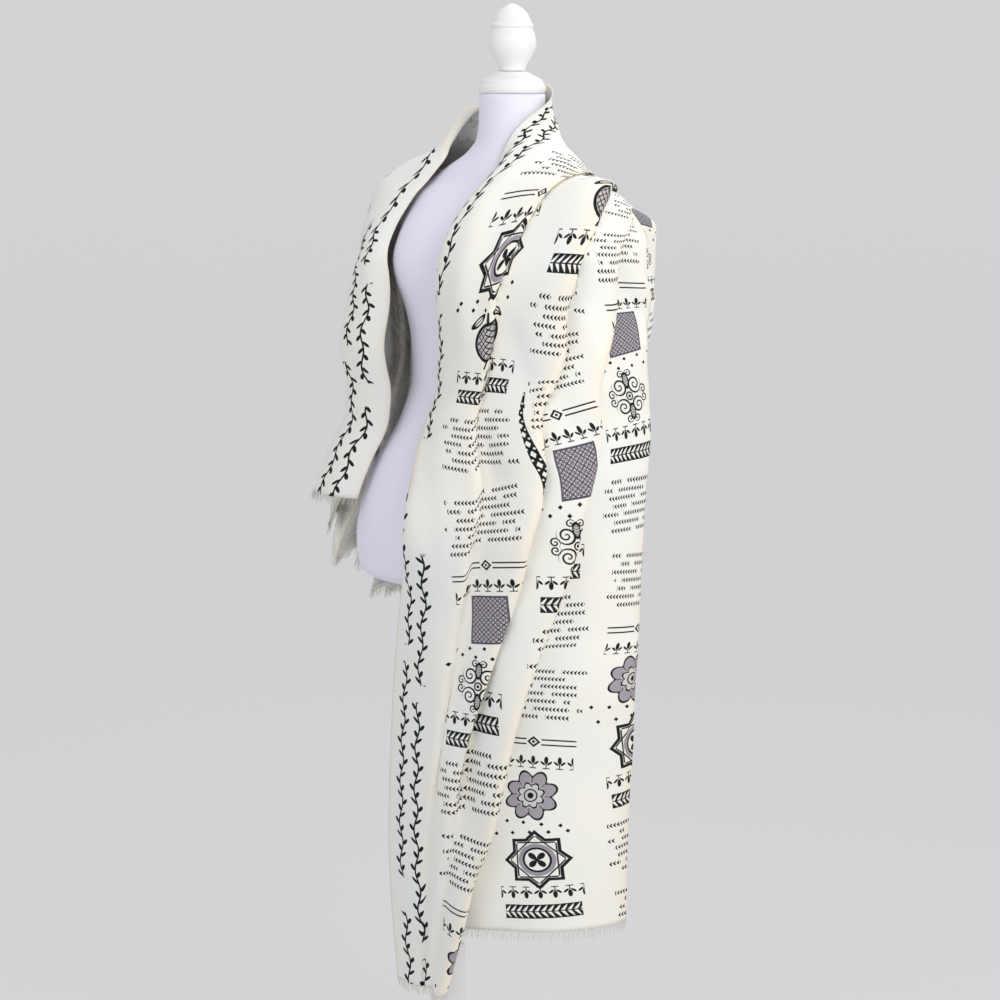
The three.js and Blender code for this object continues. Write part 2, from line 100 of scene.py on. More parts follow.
# ---------------------------------------- the drape
# One row for each distance t along the shawl, from the long drop's hem. turn, z and ease
# are the angle round the form in degrees, the height, and the distance off its skin: each
# at the front edge (0), half way across (m) and at the outer edge (1). gather is the share
# of its width that a front fold spans, slack the share added to its hidden leg, shear how
# far the outer edge is raised, and round the length of a fold's turn.
DRAPE_COLUMNS = ("t", "turn0", "turn_m", "turn1", "z0", "z_m", "z1",
                 "ease0", "ease_m", "ease1", "gather", "slack_front", "slack_back",
                 "shear", "round")
DRAPE_ROWS = np.array([
    [0, -88, -4, 92, 232, 235, 238, 12, 45, 36, 0.72, 0.11, 0.02, 160, 26],
    [200, -92, -6, 91, 432, 432, 432, 18, 52, 45, 0.73, 0.09, 0.02, 160, 26],
    [400, -88, -9, 88, 635, 635, 635, 18, 64, 64, 0.73, 0.08, 0.02, 155, 25],
    [600, -80, -10, 84, 833, 833, 833, 10, 72, 82, 0.72, 0.07, 0.02, 158, 23],
    [700, -66, -11, 80, 932, 932, 932, 8, 84, 92, 0.70, 0.07, 0.02, 159, 20],
    [800, -78, -12, 72, 1030, 1030, 1026, 12, 104, 106, 0.66, 0.06, 0.02, 160, 16],
    [940, -80, -12, 60, 1168, 1172, 1120, 16, 94, 88, 0.56, 0.04, 0.02, 150, 13],
    [1020, -76, -8, 74, 1249, 1282, 1190, 12, 42, 56, 0.48, 0.02, 0.02, 52, 12],
    [1090, -72, -2, 87, 1307, 1345, 1190, 8, 20, 44, 0.42, 0.01, 0.01, 0, 11],
    [1170, -60, 9, 98, 1372, 1378, 1160, 9, 16, 42, 0.36, 0, 0.01, 0, 14],
    [1220, -55, 35, 105, 1406, 1390, 1140, 8, 15.4, 44, 0.34, 0, 0.01, 0, 14],
    [1270, -25, 70, 113, 1440, 1392, 1120, 9, 15.4, 46, 0.33, 0, 0.01, 0, 14],
    [1325, 45, 104, 122, 1476, 1388, 1104, 10.5, 15.4, 50, 0.32, 0, 0.01, 0, 14],
    [1370, 90, 132, 130, 1493, 1380, 1094, 11, 16, 52, 0.32, 0, 0.01, 0, 14],
    [1420, 136, 156, 139, 1476, 1368, 1086, 12, 12, 54, 0.31, 0, 0.01, 0, 13],
    [1480, 180, 174, 149, 1446, 1388, 1080, 30, 56, 54, 0.30, 0.01, 0.01, 0, 12],
    [1530, 199, 188, 153, 1410, 1360, 1078, 38, 64, 52, 0.29, 0.01, 0.01, 0, 14],
    [1580, 211, 197, 153, 1372, 1295, 1080, 16, 48, 50, 0.27, 0.01, 0.01, -20, 16],
    [1650, 217, 203, 152, 1297, 1245, 1116, 10, 50, 48, 0.25, 0.01, 0.01, -100, 16],
    [1740, 232, 207, 150, 1230, 1195, 1116, 10, 66, 64, 0.22, 0.01, 0.01, -170, 16],
    [1860, 236, 208, 148, 1115, 1108, 1086, 48, 96, 80, 0.20, 0.01, 0.01, -205, 16],
    [2000, 227, 203, 147, 975, 975, 975, 15, 67, 58, 0.19, 0.01, 0.01, -166, 16],
    [2070, 226, 203, 147, 905, 905, 905, 14, 66, 58, 0.19, 0.01, 0.01, -165, 16],
])

# Each fold: its crest's distance from the front edge, the drift of that with t below the
# shoulder, the stretch of t it lives in and fades over, its least depth, and, for the front
# edge, how much is rolled under.
FOLD_COLUMNS = ("crest", "drift", "start_t", "end_t", "fade", "least", "rolled")
FOLD_ROWS = [
    [0, 0, 520, 1240, 330, 0, 40],
    [170, 0.12, 880, 3000, 260, 0.45, 0],
    [300, 0.24, 160, 3000, 240, 0.15, 0],
    [430, 0.335, -800, 560, 260, 0.60, 0],
    [520, 0.12, -500, 3000, 120, 0, 0],
    [650, 0.06, -500, 3000, 120, 0, 0],
    [780, 0.02, -500, 3000, 120, 0, 0],
    [895, 0, -500, 3000, 120, 0, 0],
]
FRONT_HALF = 520                # a fold whose middle is nearer than this is a front fold
FRONT_FADE = 200                # and one that is this much further is a back fold
SHALLOW_SLACK = 0.15            # more hidden leg where a fold is shallow
SHOULDER_T = 950                # where the folds stop drifting
LAST_CREST = 1040               # beyond the outer edge
BACK_GATHER = (0.14, 0.97)      # limits to the share of its width that a fold spans
ANY_GATHER = (0.13, 0.995)
TURN_OF_SPAN = 0.35             # limits to the length of a fold's turn
TURN_OF_WIDTH = 0.3
LEAST_EASE = 4
SLOPE_STEP = 8                  # up and down, where the skin's slope is read
LIFT_LIMITS = (-0.2, 2)         # of the slope that folds stand out at
PLEAT_STEPS = 40                # on each fold's curve
BASE_STEPS = 120                # on the line that a section's folds stand on
BASE_MARGIN = 12                # steps carried on past both its ends
DIP = 3.2                       # most that a fold dips below that line
SOLVE_STEPS = 24
SETTLE_FROM = 860               # the stretch of t that is evened out
SETTLE_TO = 1290
SETTLE_FADE = 90
SETTLE_ALONG = 30               # rounds of evening along the cloth
SETTLE_ACROSS = 6               # and across it
CENTRE_ROUNDS = 5               # to find a point's angle round its own section
BEND_REACH = 3                  # mesh columns to each side
BEND_SPAN = 6                   # least distance they are taken to be apart
BEND_GAIN = 2.2
BEND_START = 0.1
REST_GAP = 2.5                  # least gap between the evened cloth and the form's skin

# Soft creases laid on the cloth: both ends (s across, t along), half width, and height
# (below zero for a trough). The two that start at s 286 and 292 part the second fold's
# layers over the shoulder and the chest.
CREASE_WANDER = 5               # of a crease's middle, to both sides
CREASE_BEND = 70                # length along a crease for each radian of that
CREASE_ENDS = 4                 # a crease fades over one part in this many at both ends
CREASE_COLUMNS = ("s0", "t0", "s1", "t1", "half", "height")
CREASES = np.array([
    [60, 1120, 150, 860, 16, 3.8],
    [110, 1090, 190, 760, 20, -4.5],
    [150, 980, 235, 640, 22, 3.9],
    [90, 560, 130, 140, 24, 3.6],
    [150, 470, 175, 60, 20, -3.3],
    [230, 700, 215, 330, 24, 3.9],
    [300, 860, 340, 620, 22, -4.8],
    [345, 900, 420, 700, 18, 5.1],
    [420, 940, 520, 800, 16, -4.5],
    [470, 900, 610, 830, 15, 3.9],
    [330, 520, 350, 120, 26, -3.6],
    [420, 480, 470, 60, 28, 4.2],
    [540, 620, 560, 130, 30, -3.9],
    [620, 820, 640, 420, 26, 4.2],
    [100, 1700, 60, 1960, 20, 3.6],
    [190, 1640, 150, 2000, 22, -3.9],
    [286, 1120, 290, 930, 40, 13],
    [292, 930, 240, 690, 30, 4.5],
    [66, 1330, 96, 1010, 13, 3.2],
    [128, 1290, 160, 1075, 15, -3.4],
    [205, 1260, 222, 1080, 15, 3.0],
    [62, 830, 90, 580, 17, -3.2],
    [215, 930, 262, 760, 15, -3.6],
    [400, 770, 440, 560, 18, -3.8],
    [560, 780, 600, 600, 18, 3.4],
    [700, 700, 720, 300, 26, 3.6],
    [820, 860, 800, 460, 24, -3.4],
    [500, 1520, 540, 1310, 18, 3.0],
    [260, 1560, 300, 1400, 18, -3.0],
])


# ---------------------------------------- small maths
def smooth(x):
    """From 0 at 0 to 1 at 1, level at both ends."""
    c = np.clip(x, 0, 1)
    return c * c * (3 - 2 * c)


def column(rows, index, x):
    """One table column at x, by a monotone cubic through the rows."""
    xs, ys = rows[:, 0], rows[:, index]
    at = np.clip(x, xs[0], xs[-1])
    h = np.diff(xs)
    chord = np.diff(ys) / h
    before, after = chord[:-1], chord[1:]
    turning = before * after <= 0
    w_before = 2 * h[1:] + h[:-1]
    w_after = h[1:] + 2 * h[:-1]
    mean = (w_before + w_after) / (w_before / np.where(turning, 1, before)
                                   + w_after / np.where(turning, 1, after))
    slope = np.concatenate([chord[:1], np.where(turning, 0, mean), chord[-1:]])
    i = np.clip(np.searchsorted(xs, at, side="right") - 1, 0, len(h) - 1)
    u = (at - xs[i]) / h[i]
    return (ys[i] * (1 + 2 * u) * (1 - u) ** 2 + ys[i + 1] * u * u * (3 - 2 * u)
            + h[i] * slope[i] * u * (1 - u) ** 2 - h[i] * slope[i + 1] * u * u * (1 - u))


def read_row(rows, names, x):
    """A table's columns at x, by their names."""
    return SimpleNamespace(**{name: column(rows, k, x) for k, name in enumerate(names)})


def three_point(a, m, b, x):
    """Parabola through three values at 0, 1/2 and 1, carried on straight outside."""
    c = np.clip(x, 0, 1)
    inside = a * (1 - c) * (1 - 2 * c) + 4 * m * c * (1 - c) + b * c * (2 * c - 1)
    before = np.minimum(x, 0) * (4 * m - 3 * a - b)
    beyond = np.maximum(x - 1, 0) * (a - 4 * m + 3 * b)
    return inside + before + beyond


def unit(vectors):
    """The vectors at length 1."""
    return vectors / np.maximum(np.linalg.norm(vectors, axis=-1, keepdims=True), 1e-9)


# ---------------------------------------- the dress form's skin
def form_radius(angle, z):
    """The skin's distance from its section's centre, and that centre's y."""
    row = read_row(FORM_ROWS, FORM_COLUMNS, z)
    depth = (row.back - row.front) / 2
    across = np.abs(np.cos(angle)) / row.half
    along = np.abs(np.sin(angle)) / depth
    radius = (across ** row.power + along ** row.power) ** (-1 / row.power)
    x = radius * np.cos(angle)
    for side in (-1, 1):
        near = ((x - side * BUST.x) / BUST.reach_x) ** 2 + ((z - BUST.z) / BUST.reach_z) ** 2
        radius = radius + BUST.out * np.exp(-near) * np.maximum(0, -np.sin(angle))
    return radius, (row.back + row.front) / 2


def skin_points(angle, z, ease):
    """Points that stand ease off the skin."""
    radius, centre = form_radius(angle, z)
    r = radius + ease
    return np.stack([r * np.cos(angle), centre + r * np.sin(angle), z + 0 * r], -1)


# ---------------------------------------- the cloth's folds
STEP_MIDDLES = (np.arange(PLEAT_STEPS) + 0.5) / PLEAT_STEPS


def trace_pleat(width, hidden, turn, free):
    """Points (s, along, out) across a fold whose share hidden of a full turn is given for
    each step. They end level with the start unless free."""
    headings = -turn * hidden
    lean = 0 if free else math.atan2(np.sin(headings).sum(), np.cos(headings).sum())
    step = width / PLEAT_STEPS
    along = np.concatenate([[0], np.cumsum(np.cos(headings - lean)) * step])
    out = np.concatenate([[0], np.cumsum(np.sin(headings - lean)) * step])
    return SimpleNamespace(s=np.arange(PLEAT_STEPS + 1) * step, along=along, out=out)


def span_share(hidden, turn):
    """The share of a fold's width that it spans."""
    return math.hypot(np.cos(turn * hidden).mean(), np.sin(turn * hidden).mean())


def solve_falling(low, high, measure, target):
    """Where a falling measure comes down to the target."""
    for _ in range(SOLVE_STEPS):
        middle = (low + high) / 2
        if measure(middle) > target:
            low = middle
        else:
            high = middle
    return high


def pleat(width, span, slack, rounding):
    """One fold gathered into the span: a hidden leg back, then the showing leg out."""
    turn_length = min(rounding, TURN_OF_SPAN * span, TURN_OF_WIDTH * width)
    s = STEP_MIDDLES * width

    def hidden_for(tuck):
        return (smooth(s / turn_length + 0.5) - smooth((s - tuck * width) / turn_length + 0.5)
                + smooth((s - width) / turn_length + 0.5))

    share = span / width
    flat = solve_falling(0.02, 0.5, lambda k: span_share(hidden_for(k), math.pi), share)
    tuck = min(0.5, flat + slack)
    hidden = hidden_for(tuck)
    turn = solve_falling(0, math.pi, lambda a: span_share(hidden, a), share)
    return trace_pleat(width, hidden, turn, False), tuck


def rolled_edge(width, under, depth, rounding):
    """The front edge rolled under: back below, one turn, then forward."""
    hidden = 1 - smooth((STEP_MIDDLES * width - under) / min(rounding, under) + 0.5)
    return trace_pleat(width, hidden, -math.pi * depth, True), under / width


def fold_shapes(t, row, base_length):
    """The folds that cross one section, each with its shape and its crests' heights."""
    folds = [SimpleNamespace(**dict(zip(FOLD_COLUMNS, values))) for values in FOLD_ROWS]
    for fold in folds:
        deep = smooth((t - fold.start_t) / fold.fade) * smooth((fold.end_t - t) / fold.fade)
        fold.start = fold.crest + fold.drift * (min(t, SHOULDER_T) - SHOULDER_T)
        fold.depth = max(fold.least, deep)
    for i, fold in enumerate(folds):
        fold.end = folds[i + 1].start if i + 1 < len(folds) else LAST_CREST
        fold.width = fold.end - fold.start
        fold.inside = min(fold.end, CLOTH_WIDTH) - fold.start
        fold.front = 1 - smooth((fold.start + fold.width / 2 - FRONT_HALF) / FRONT_FADE)
        fold.gather = 1 - (1 - row.gather) * fold.depth
        if fold.rolled:
            fold.gather = 1 - 2 * fold.rolled / fold.width * fold.depth
    front_length = sum(f.front * f.gather * f.inside for f in folds)
    back_width = sum((1 - f.front) * f.inside for f in folds)
    back_gather = np.clip((base_length - front_length) / back_width, *BACK_GATHER)
    for f in folds:
        f.gather = f.front * f.gather + (1 - f.front) * back_gather
    total = sum(f.gather * f.inside for f in folds)
    for f in folds:
        span = f.width * np.clip(f.gather * base_length / total, *ANY_GATHER)
        slack = (row.slack_front * f.front + row.slack_back * (1 - f.front)
                 + SHALLOW_SLACK * (1 - f.depth) ** 2)
        if f.rolled:
            f.points, f.tuck = rolled_edge(f.width, f.rolled, f.depth, row.round)
        else:
            f.points, f.tuck = pleat(f.width, span, slack, row.round)
        f.valley = -f.points.out.min()
        f.hidden = 0 if f.rolled else f.tuck * f.width * f.depth * f.front
    for i, f in enumerate(folds):
        following = folds[min(i + 1, len(folds) - 1)]
        f.next_height = following.valley / 2 if f.rolled else (f.valley + following.valley) / 2
        f.height = folds[i - 1].next_height if i else 0
    return folds


def folded_line(t, row, base_length):
    """Arrays (s, along, out, lift) across one section, base_length long. lift is the
    share of the section's shear, which the hidden legs take up between them."""
    line = []
    position = 0
    lifted = 0
    folds = fold_shapes(t, row, base_length)
    all_hidden = sum(f.hidden for f in folds)
    for fold in folds:
        share = min(1, (CLOTH_WIDTH - fold.start) / fold.width)
        local = np.concatenate([
            fold.tuck * np.arange(RETURN_COLUMNS) / RETURN_COLUMNS,
            fold.tuck + (1 - fold.tuck) * np.arange(FORWARD_COLUMNS) / FORWARD_COLUMNS,
            [1] if share < 1 else [],
        ])
        s = local * share * fold.width
        rise = fold.next_height - fold.height - fold.points.out[-1]
        along = position + np.interp(s, fold.points.s, fold.points.along)
        out = np.interp(s, fold.points.s, fold.points.out) + fold.height
        lift = lifted + fold.hidden / all_hidden * smooth(local / fold.tuck)
        out = out + rise * smooth(s / fold.width)
        line.append(np.stack([fold.start + s, along, out, lift]))
        position += fold.points.along[-1]
        lifted += fold.hidden / all_hidden
    s, along, out, lift = np.concatenate(line, axis=1)
    along = (along - along.min()) * base_length / (along.max() - along.min())
    return s, along, out, lift


def base_line(row):
    """The line round the form that one section's folds stand on."""
    u = np.arange(-BASE_MARGIN, BASE_STEPS + BASE_MARGIN + 1) / BASE_STEPS
    angle = np.radians(three_point(row.turn0, row.turn_m, row.turn1, u))
    z = three_point(row.z0, row.z_m, row.z1, u)
    ease = three_point(row.ease0, row.ease_m, row.ease1, np.clip(u, 0, 1))
    skin_z = np.maximum(HIP_Z, z)
    points = skin_points(angle, skin_z, np.maximum(LEAST_EASE, ease))
    points[:, 2] = z
    below, above = (form_radius(angle, skin_z + step)[0] for step in (-SLOPE_STEP, SLOPE_STEP))
    lift = np.clip((below - above) / (2 * SLOPE_STEP), *LIFT_LIMITS)
    lift = np.where(skin_z > z, 0, lift)
    out = np.stack([np.cos(angle), np.sin(angle), lift], -1)
    tangent = unit(np.gradient(points, axis=0))
    out = unit(out - (out * tangent).sum(1, keepdims=True) * tangent)
    arc = np.concatenate([[0], np.cumsum(np.linalg.norm(np.diff(points, axis=0), axis=1))])
    return points, out, arc - arc[BASE_MARGIN]


def blend_at(arc, values, where):
    """Rows of values, given at arc, read at where."""
    return np.stack([np.interp(where, arc, values[:, k]) for k in range(3)], -1)


def cloth_section(t):
    """Distances s from the front edge, and points, across the cloth at t."""
    row = read_row(DRAPE_ROWS, DRAPE_COLUMNS, t)
    base, outward, arc = base_line(row)
    s, along, out, lift = folded_line(t, row, arc[BASE_STEPS + BASE_MARGIN])
    points = blend_at(arc, base, along)
    points += unit(blend_at(arc, outward, along)) * np.maximum(-DIP, out)[:, None]
    points[:, 2] += row.shear * lift
    return s, points


def normals_of(grid):
    """Unit normals of a grid of points, out of the cloth's face."""
    return unit(np.cross(np.gradient(grid, axis=1), np.gradient(grid, axis=0)))


def crease_height(s, t):
    """Height of the soft creases at (s, t)."""
    height = np.zeros_like(s)
    for values in CREASES:
        c = SimpleNamespace(**dict(zip(CREASE_COLUMNS, values)))
        run = np.array([c.s1 - c.s0, c.t1 - c.t0])
        length = np.hypot(*run)
        forward = ((s - c.s0) * run[0] + (t - c.t0) * run[1]) / length
        aside = ((s - c.s0) * run[1] - (t - c.t0) * run[0]) / length
        wander = CREASE_WANDER * np.sin(forward / CREASE_BEND + c.s0)
        ends = (smooth(forward / length * CREASE_ENDS)
                * smooth((1 - forward / length) * CREASE_ENDS))
        height += c.height * ends * np.exp(-((aside - wander) / c.half) ** 2)
    return height


def rumple_height(s, t):
    """Small uneven waves over all the cloth."""
    lengthwise = np.sin(s / 17 + 1.9 * np.sin(t / 190) + 0.8 * np.sin(t / 67 + s / 90))
    crosswise = np.sin(t / 41 + 2.1 * np.sin(s / 83) + 0.9 * np.sin(t / 130))
    patches = 0.5 + 0.5 * np.sin(s / 120 + t / 210 + 1.3 * np.sin(t / 150 - s / 70))
    return 0.55 * lengthwise * patches + 0.45 * crosswise * (1 - patches)


def bend_of(points):
    """How sharply the cloth turns across its folds: 0 where flat, 1 on a fold's edge."""
    reach = BEND_REACH
    padded = np.pad(points, ((0, 0), (reach, reach), (0, 0)), mode="edge")
    columns = points.shape[1]
    middle = (padded[:, :columns] + padded[:, 2 * reach:]) / 2
    span = np.linalg.norm(padded[:, 2 * reach:] - padded[:, :columns], axis=-1)
    rise = np.linalg.norm(points - middle, axis=-1)
    return np.clip(rise / np.maximum(span, BEND_SPAN) * BEND_GAIN - BEND_START, 0, 1)


def settle(points, t):
    """Evens the cloth out over the near shoulder, where its sections change fastest."""
    share = 0.5 * (smooth((t - SETTLE_FROM) / SETTLE_FADE)
                   * smooth((SETTLE_TO - t) / SETTLE_FADE))[..., None]
    for step in range(SETTLE_ALONG):
        change = np.zeros_like(points)
        change[1:-1] = (points[:-2] + points[2:]) / 2 - points[1:-1]
        if step < SETTLE_ACROSS:
            change[:, 1:-1] += (points[:, :-2] + points[:, 2:]) / 2 - points[:, 1:-1]
        points = points + share * change
    return clear_of_form(points)


def clear_of_form(points):
    """Moves whatever lies nearer to the form's skin than REST_GAP out to it."""
    x, y, z = np.moveaxis(points, -1, 0)
    centre = np.full_like(z, NECK_Y)
    for _ in range(CENTRE_ROUNDS):
        angle = np.arctan2(y - centre, x)
        radius, centre = form_radius(angle, z)
    short = radius + REST_GAP - np.hypot(x, y - centre)
    out = np.where(z < NECK_TOP, np.maximum(short, 0), 0)
    return points + np.stack([np.cos(angle) * out, np.sin(angle) * out, np.zeros_like(z)], -1)


def cloth_grid():
    """Points and cut coordinates (s, t) of the whole shawl, in mm."""
    ts = np.linspace(0, CLOTH_LENGTH, ROWS)
    sections = [cloth_section(t) for t in ts]
    s = np.array([section[0] for section in sections])
    points = np.array([section[1] for section in sections])
    t = np.repeat(ts[:, None], s.shape[1], axis=1)
    points = settle(points, t)
    height = crease_height(s, t) + rumple_height(s, t)
    points += normals_of(points) * height[..., None]
    return points, s, t


# ---------------------------------------- mesh building
TORSO_BOTTOM = 791
FORM_SIDES = 128
FIRST_RING = 8                  # of the full rings, above the form's lower edge
RING_PITCH = 5                  # between the form's rings
CAP_GAP = 0.4                   # between the neck's top and its cap
EDGE_ROUND = 5                  # rounding of the form's lower edge
EDGE_TURNS = np.radians([0, 20, 40, 60, 80, 90])
CORNER = 2.5                    # most that a turned corner is cut back
CORNER_SHARE = 0.25             # and the most of an edge's length
CORNER_CUTS = 2
TURNED_SIDES = 96

# Turned pieces: name, CAD node, y, and (radius, z) from the axis round to the axis.
TURNED = [
    ("foot", "base", 0, [(0, 0), (155, 0), (155, 12), (151, 16), (136, 18.5), (119, 20.8),
                         (101.5, 22), (84, 22.6), (67, 22.6), (52, 22), (40, 26), (0, 26)]),
    ("pole_turning", "pole", 0, [(0, 26.35), (32, 26.35), (28, 33), (26, 40), (26, 254),
                                 (24, 262), (0, 262)]),
    ("cup", "knob", 0, [(0, 262.35), (24, 262.35), (26, 266), (30, 273.7), (32.5, 281.3),
                        (33, 289), (31.5, 296.7), (28, 304.3), (22, 312), (16, 320),
                        (15, 326), (0, 326)]),
    ("rod_turning", "rod", 0, [(0, 326.35), (11, 326.35), (11, 783), (32, 785), (32, 790.6),
                               (0, 790.6)]),
    ("cap_turning", "neck_cap", NECK_Y, [(0, 1475), (45, 1475), (48, 1478), (48, 1486),
                                         (45, 1488), (45, 1492), (39, 1497), (29, 1501),
                                         (22, 1506), (0, 1506)]),
    ("finial_turning", "finial", NECK_Y, [
        (0, 1506.35), (19, 1506.35), (19, 1510), (21, 1516), (25, 1522), (29, 1528),
        (32, 1534), (34, 1540), (34.5, 1546), (34, 1552), (33, 1557), (31, 1562), (29, 1566),
        (29.2, 1566.6), (30.5, 1568), (30.8, 1570), (30.5, 1572), (28, 1574), (26.4, 1578),
        (24, 1584), (20.5, 1589), (16, 1593.5), (11, 1597), (5.5, 1600), (0, 1601)]),
]


def new_object(name, points_mm, faces, materials, slot):
    """A mesh object in metres. One given a slot rides on the root body."""
    mesh = bpy.data.meshes.new(name)
    mesh.from_pydata((np.asarray(points_mm) * MM).tolist(), [], faces)
    for material in materials:
        mesh.materials.append(material)
    mesh.shade_smooth()
    obj = bpy.data.objects.new(name, mesh)
    bpy.context.scene.collection.objects.link(obj)
    if slot:
        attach(obj, "root")
    return obj


def grid_faces(rows, columns, first=0, flip=False):
    """Four-sided faces over a grid of vertices that starts at first."""
    i, j = np.meshgrid(np.arange(rows - 1), np.arange(columns - 1), indexing="ij")
    a = (first + i * columns + j).ravel()
    quads = np.stack([a, a + 1, a + columns + 1, a + columns], -1)
    return (quads[:, ::-1] if flip else quads).tolist()


def ring_faces(rings, sides):
    """Faces round a stack of closed rings, with a flat face at both ends."""
    faces = []
    for i in range(rings - 1):
        for j in range(sides):
            k = (j + 1) % sides
            faces.append([i * sides + j, i * sides + k, (i + 1) * sides + k, (i + 1) * sides + j])
    faces.append(list(range(sides))[::-1])
    faces.append([(rings - 1) * sides + j for j in range(sides)])
    return faces


def set_cut_coordinates(mesh, s, t):
    """UV in metres: distance across the cloth and along it."""
    loops = np.empty(len(mesh.loops), np.int32)
    mesh.loops.foreach_get("vertex_index", loops)
    uv = mesh.uv_layers.new(name="cut")
    uv.data.foreach_set("uv", (np.stack([s[loops], t[loops]], -1) * MM).ravel())


def make_shawl(points, s, t, face_material, back_material):
    """The cloth as a thin shell: its face, its reverse, and the rim that joins them."""
    rows, columns = s.shape
    half = normals_of(points) * CLOTH_THICKNESS / 2
    both = np.concatenate([(points + half).reshape(-1, 3), (points - half).reshape(-1, 3)])
    count = rows * columns
    faces = grid_faces(rows, columns) + grid_faces(rows, columns, count, flip=True)
    front_faces = len(faces) // 2
    around = ([(0, j) for j in range(columns)] + [(i, columns - 1) for i in range(1, rows)]
              + [(rows - 1, j) for j in range(columns - 2, -1, -1)]
              + [(i, 0) for i in range(rows - 2, 0, -1)])
    edge = [i * columns + j for i, j in around]
    for a, b in zip(edge, edge[1:] + edge[:1]):
        faces.append([b, a, a + count, b + count])
    shawl = new_object("shawl", both, faces, [face_material, back_material], "shawl_cloth")
    set_cut_coordinates(shawl.data, np.tile(s.ravel(), 2), np.tile(t.ravel(), 2))
    side = np.zeros(len(faces), np.int32)
    side[front_faces:2 * front_faces] = 1
    shawl.data.polygons.foreach_set("material_index", side)
    # How sharply the cloth bends, which places the painted warm glow and shade on the folds'
    # edges.
    bend = shawl.data.attributes.new("bend", "FLOAT", "POINT")
    bend.data.foreach_set("value", np.tile(bend_of(points).ravel(), 2))
    return shawl


def make_fringe(name, points, s, inward, material, seed):
    """Loose yarns along one frayed end. points: the hem; inward: the row next to it."""
    rng = np.random.default_rng(seed)
    arc = np.concatenate([[0], np.cumsum(np.linalg.norm(np.diff(points, axis=0), axis=1))])
    away = unit(points - inward)
    across = unit(np.gradient(points, axis=0))
    vertices, faces = [], []
    yarn_faces = ring_faces(YARN_RINGS, YARN_SIDES)
    for start in np.arange(FIRST_YARN, s.max(), YARN_PITCH):
        at = np.interp(start + rng.uniform(-YARN_JITTER, YARN_JITTER), s, arc)
        root, forward, aside = (blend_at(arc, v, at) for v in (points, away, across))
        normal = np.cross(forward, aside)
        reach = FRINGE * rng.uniform(YARN_SHORTEST, 1.0)
        lean = aside * rng.normal(0, YARN_LEAN) + normal * rng.normal(0, YARN_STAND)
        curl = aside * rng.normal(0, YARN_CURL) + np.array([0, 0, -YARN_SAG])
        faces += [[len(vertices) + corner for corner in face] for face in yarn_faces]
        for k in range(YARN_RINGS):
            u = k / (YARN_RINGS - 1)
            centre = root + (forward * u + lean * u + curl * u * u) * reach - forward * (1 - u)
            for m in range(YARN_SIDES):
                a = 2 * math.pi * m / YARN_SIDES
                radius = YARN_RADIUS * (1 - YARN_TAPER * u)
                vertices.append(centre + (aside * math.cos(a) + normal * math.sin(a)) * radius)
    return new_object(name, vertices, faces, [material], "shawl_fringe")


def make_form(material):
    """The dress form's body, finer than its solid, with its lower edge rounded."""
    heights = np.concatenate([TORSO_BOTTOM + EDGE_ROUND * (1 - np.cos(EDGE_TURNS)),
                              np.arange(TORSO_BOTTOM + FIRST_RING, NECK_TOP - 1, RING_PITCH),
                              [NECK_TOP - CAP_GAP]])
    inset = np.zeros(len(heights))
    inset[:len(EDGE_TURNS)] = -EDGE_ROUND * (1 - np.sin(EDGE_TURNS))
    angle = 2 * np.pi * np.arange(FORM_SIDES) / FORM_SIDES
    rings = np.concatenate([skin_points(angle, np.full(FORM_SIDES, z), ease)
                            for z, ease in zip(heights, inset)])
    faces = ring_faces(len(heights), FORM_SIDES)
    return new_object("form_body", rings, faces, [material], "form_cover")


def rounded(profile):
    """The profile with its corners cut back, CORNER_CUTS times over; its ends stay."""
    points = [np.array(p, float) for p in profile]
    for _ in range(CORNER_CUTS):
        cut = [points[0]]
        for a, b in zip(points, points[1:]):
            near = min(CORNER_SHARE, CORNER / max(np.hypot(*(b - a)), 0.01))
            cut += [a + (b - a) * near, b - (b - a) * near]
        points = cut + [points[-1]]
    return points


def make_turned(name, profile, y, material, slot):
    """A turned body on a profile of (radius, z), from the axis to the axis, in mm."""
    radii, heights = np.array(rounded(profile)[1:-1]).T
    angle = 2 * np.pi * np.arange(TURNED_SIDES) / TURNED_SIDES
    rings = np.stack([np.outer(radii, np.cos(angle)), np.outer(radii, np.sin(angle)) + y,
                      np.repeat(heights[:, None], TURNED_SIDES, 1)], -1).reshape(-1, 3)
    return new_object(name, rings, ring_faces(len(radii), TURNED_SIDES), [material], slot)


